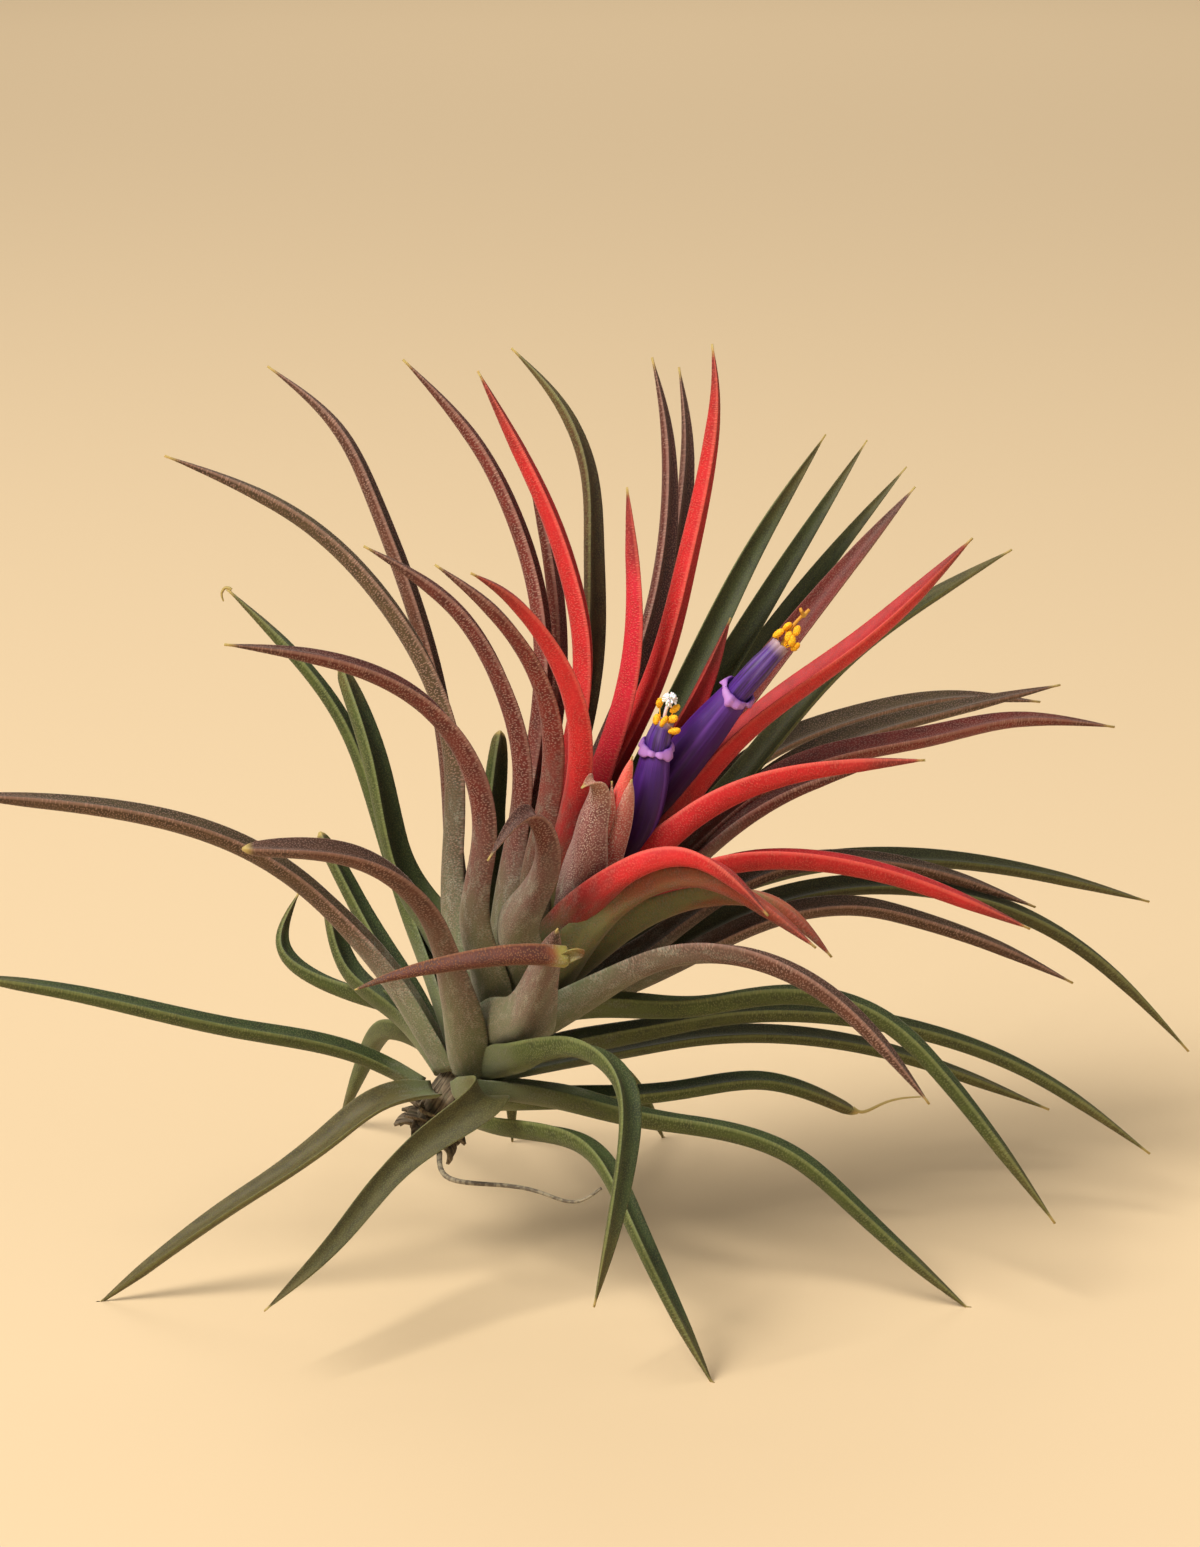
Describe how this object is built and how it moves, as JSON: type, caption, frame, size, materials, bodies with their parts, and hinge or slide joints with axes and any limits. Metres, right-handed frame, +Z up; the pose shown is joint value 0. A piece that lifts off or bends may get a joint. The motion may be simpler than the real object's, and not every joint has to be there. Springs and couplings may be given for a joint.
{
  "type": "sky plant",
  "caption": "Flowering rosette air plant with channelled recurved leaves, green at the foot and red round the crown, two violet tube flowers and one wiry root, standing on its leaf tips.",
  "frame": {"origin": "On the surface that the plant stands on, under the middle of its overall box.", "axes": "+Z up, +X towards the side that the stem leans to and the flowers point to, -Y towards the front."},
  "size_m": [0.1793, 0.1033, 0.1325],
  "materials": {
    "leaf_green": "matte, silver scales over dark green",
    "leaf_bronze": "matte, silver scales over brown purple",
    "leaf_red": "satin, coral red",
    "bract": "matte, papery pink",
    "corolla": "satin violet",
    "anthers": "matte pollen yellow",
    "stem": "matte, woody",
    "root": "matte, wiry"
  },
  "bodies": {
    "root": {"leaf_green_01": "leaf_green", "leaf_green_02": "leaf_green", "leaf_green_03": "leaf_green", "leaf_green_04": "leaf_green", "leaf_green_05": "leaf_green", "leaf_green_06": "leaf_green", "leaf_green_07": "leaf_green", "leaf_green_08": "leaf_green", "leaf_bronze_01": "leaf_bronze", "leaf_green_09": "leaf_green", "leaf_green_10": "leaf_green", "leaf_bronze_02": "leaf_bronze", "leaf_green_11": "leaf_green", "leaf_green_12": "leaf_green", "leaf_green_13": "leaf_green", "leaf_green_14": "leaf_green", "leaf_bronze_03": "leaf_bronze", "leaf_green_15": "leaf_green", "leaf_green_16": "leaf_green", "leaf_bronze_04": "leaf_bronze", "leaf_green_17": "leaf_green", "leaf_bronze_05": "leaf_bronze", "leaf_bronze_06": "leaf_bronze", "leaf_green_18": "leaf_green", "leaf_bronze_07": "leaf_bronze", "leaf_bronze_08": "leaf_bronze", "leaf_green_19": "leaf_green", "leaf_red_01": "leaf_red", "leaf_green_20": "leaf_green", "leaf_bronze_09": "leaf_bronze", "leaf_green_21": "leaf_green", "leaf_green_22": "leaf_green", "leaf_bronze_10": "leaf_bronze", "leaf_bronze_11": "leaf_bronze", "leaf_bronze_12": "leaf_bronze", "leaf_red_02": "leaf_red", "leaf_green_23": "leaf_green", "leaf_bronze_13": "leaf_bronze", "leaf_bronze_14": "leaf_bronze", "leaf_bronze_15": "leaf_bronze", "leaf_red_03": "leaf_red", "leaf_green_24": "leaf_green", "leaf_red_04": "leaf_red", "leaf_red_05": "leaf_red", "leaf_red_06": "leaf_red", "leaf_red_07": "leaf_red", "leaf_bronze_16": "leaf_bronze", "leaf_red_08": "leaf_red", "leaf_red_09": "leaf_red", "leaf_bronze_17": "leaf_bronze", "leaf_red_10": "leaf_red", "leaf_red_11": "leaf_red", "bract_left": "bract", "bract_right": "bract", "corolla_short": "corolla", "anthers_short": "anthers", "corolla_long": "corolla", "anthers_long": "anthers", "stem": "stem", "root": "root"}
  },
  "joints": []
}
